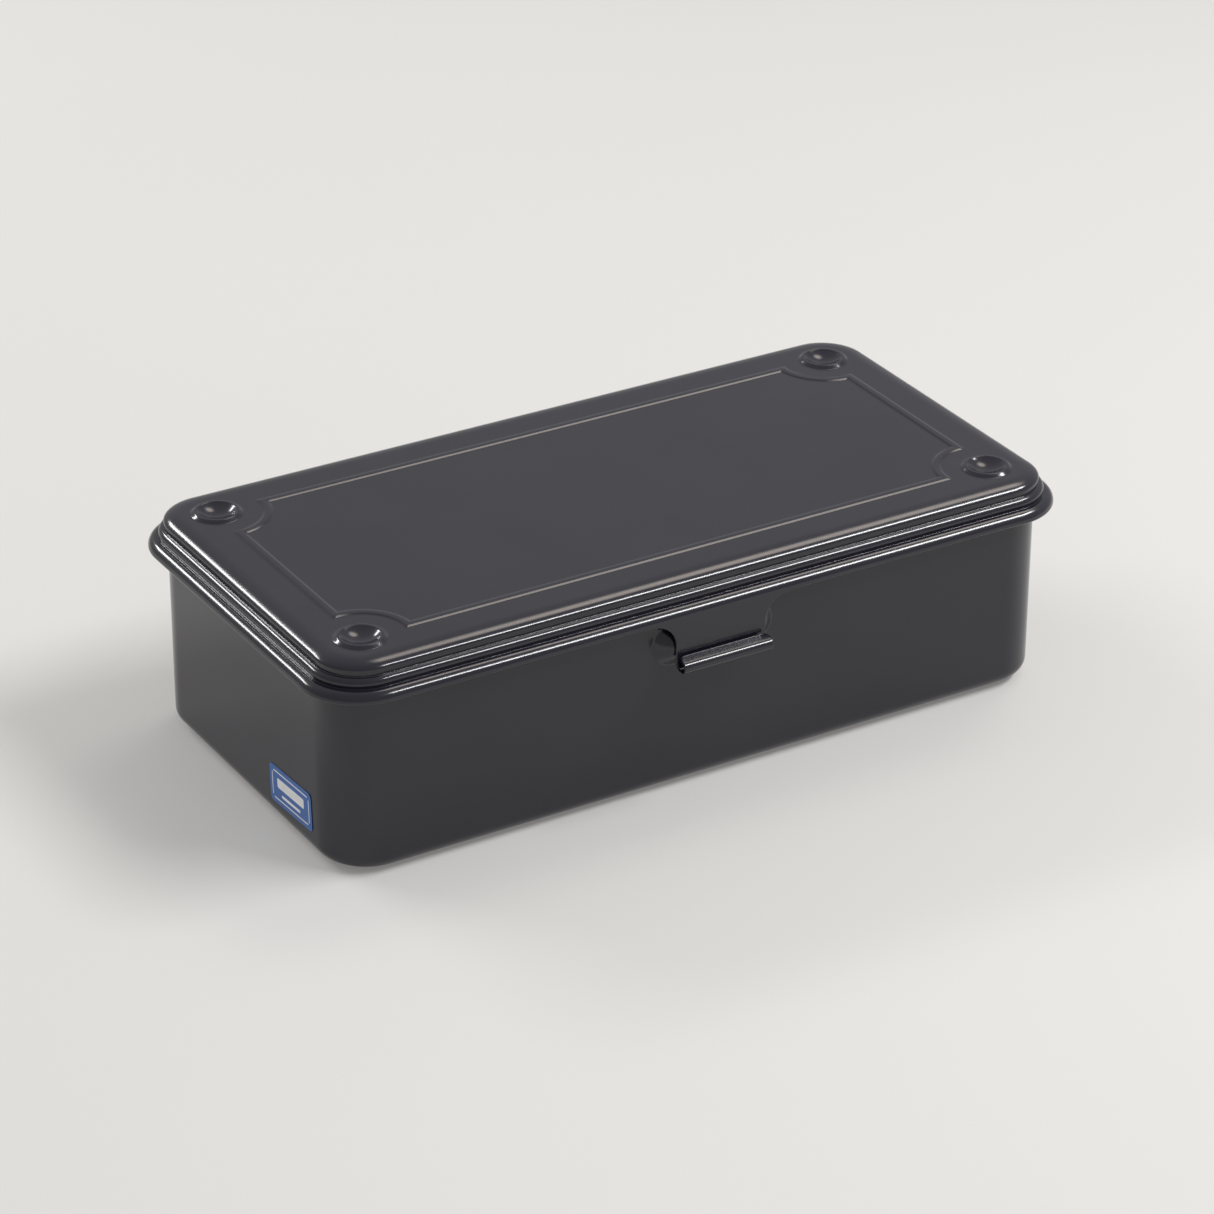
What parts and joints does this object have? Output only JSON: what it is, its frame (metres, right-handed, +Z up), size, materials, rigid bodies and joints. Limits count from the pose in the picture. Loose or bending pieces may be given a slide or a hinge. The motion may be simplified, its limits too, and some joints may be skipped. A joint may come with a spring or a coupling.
{
  "type": "metal lunch box",
  "caption": "Low rectangular pressed-steel box with a stepped, flanged lid on two rear hinges and a sprung front tongue with a rolled finger grip.",
  "frame": {"origin": "middle of the whole length and depth, on the surface that the four feet stand on", "axes": "+X to the right along the box's length, +Y to the back where the hinges are, +Z up; the latch faces -Y"},
  "size_m": [0.203, 0.109, 0.056],
  "materials": {
    "body_paint": "semi-gloss black baked enamel with a very fine orange peel",
    "lid_paint": "semi-gloss black baked enamel with a very fine orange peel",
    "hinge_paint": "semi-gloss black baked enamel",
    "pin_steel": "plain drawn steel wire",
    "label_vinyl": "printed vinyl sticker with a pale border line"
  },
  "bodies": {
    "case": {"body_shell": "body_paint", "hinge_body_leaf_left": "hinge_paint", "hinge_body_leaf_right": "hinge_paint", "hinge_pin_left": "pin_steel", "hinge_pin_right": "pin_steel", "side_label": "label_vinyl"},
    "lid": {"lid_shell": "lid_paint", "hinge_lid_leaf_left": "hinge_paint", "hinge_lid_leaf_right": "hinge_paint"},
    "latch": {"latch_tongue": "lid_paint"}
  },
  "joints": [
    {"name": "lid_hinge", "type": "hinge", "parent": "case", "child": "lid", "pos_m": [0, 0.05307, 0.0445], "axis": [-1, 0, 0], "range_deg": [0, 105]},
    {"name": "latch_flex", "type": "hinge", "parent": "lid", "child": "latch", "pos_m": [0, -0.05038, 0.0464], "axis": [-1, 0, 0], "range_deg": [0, 6], "stiffness_Nm_per_rad": 0.8}
  ]
}
